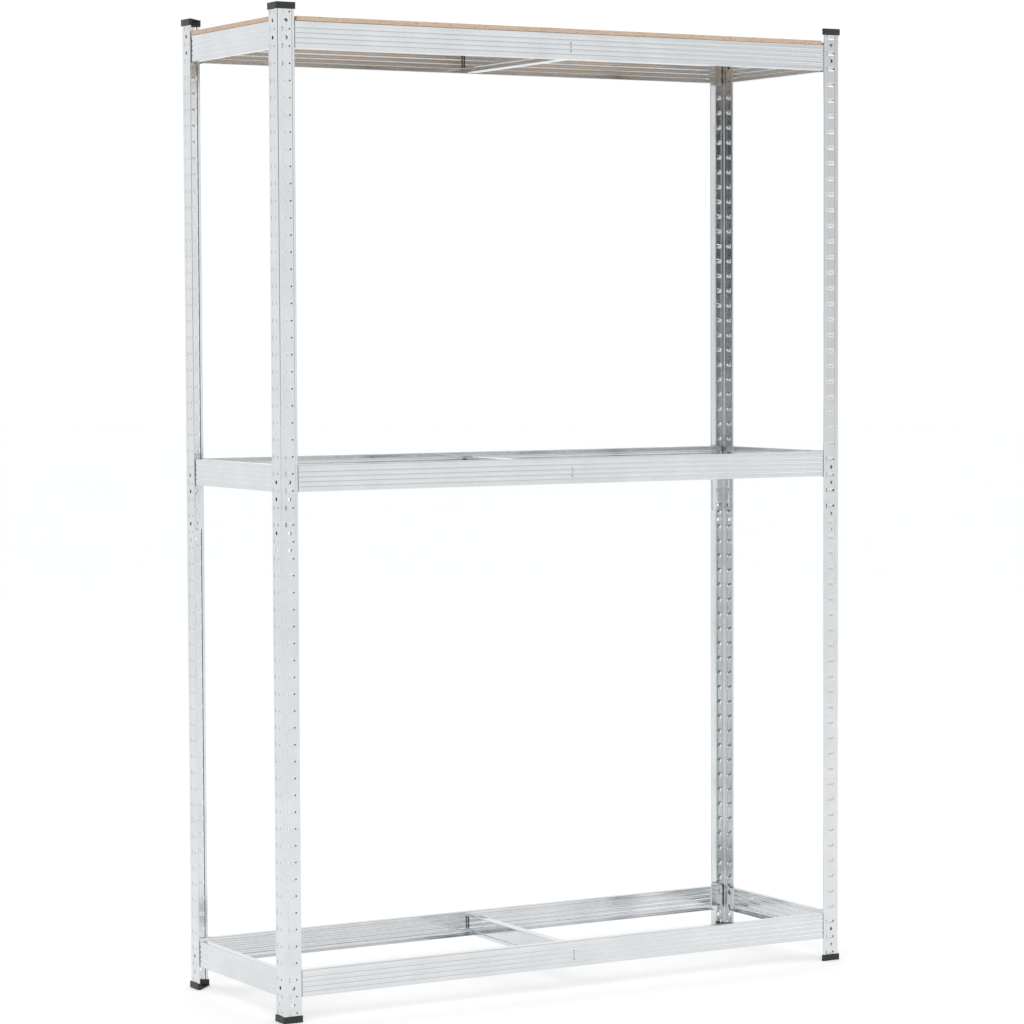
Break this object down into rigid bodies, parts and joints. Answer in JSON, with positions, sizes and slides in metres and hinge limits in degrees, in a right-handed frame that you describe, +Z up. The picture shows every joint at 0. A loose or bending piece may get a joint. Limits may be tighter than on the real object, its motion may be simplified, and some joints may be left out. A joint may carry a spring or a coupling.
{
  "type": "tyre storage rack",
  "caption": "Boltless galvanised steel rack that stores tyres standing between front and rear beams, with angle posts and a loose particle-board top shelf.",
  "frame": {"origin": "on the floor at the middle of the rack's footprint", "axes": "+X along the rack's width to the right seen from the front, +Y from front to back, +Z up"},
  "size_m": [1.2032, 0.4032, 1.804],
  "materials": {
    "galvanised_steel": "glossy galvanised",
    "black_plastic": "moulded, satin",
    "particle_board": "raw particle board"
  },
  "bodies": {
    "frame": {"post_front_left_lower": "galvanised_steel", "post_front_left_upper": "galvanised_steel", "post_front_right_lower": "galvanised_steel", "post_front_right_upper": "galvanised_steel", "post_rear_right_lower": "galvanised_steel", "post_rear_right_upper": "galvanised_steel", "post_rear_left_lower": "galvanised_steel", "post_rear_left_upper": "galvanised_steel", "splice_front_left": "galvanised_steel", "splice_front_right": "galvanised_steel", "splice_rear_right": "galvanised_steel", "splice_rear_left": "galvanised_steel", "beam_front_bottom": "galvanised_steel", "beam_right_bottom": "galvanised_steel", "beam_rear_bottom": "galvanised_steel", "beam_left_bottom": "galvanised_steel", "beam_front_middle": "galvanised_steel", "beam_right_middle": "galvanised_steel", "beam_rear_middle": "galvanised_steel", "beam_left_middle": "galvanised_steel", "beam_front_top": "galvanised_steel", "beam_right_top": "galvanised_steel", "beam_rear_top": "galvanised_steel", "beam_left_top": "galvanised_steel", "tie_bar_bottom": "galvanised_steel", "tie_bar_middle": "galvanised_steel", "tie_bar_top": "galvanised_steel", "foot_front_left": "black_plastic", "foot_front_right": "black_plastic", "foot_rear_right": "black_plastic", "foot_rear_left": "black_plastic", "cap_front_left": "black_plastic", "cap_front_right": "black_plastic", "cap_rear_right": "black_plastic", "cap_rear_left": "black_plastic"},
    "board": {"top_board": "particle_board"}
  },
  "joints": [
    {"name": "board_lift", "type": "slide", "parent": "frame", "child": "board", "axis": [0, 0, 1], "range_m": [0, 0.06]}
  ]
}
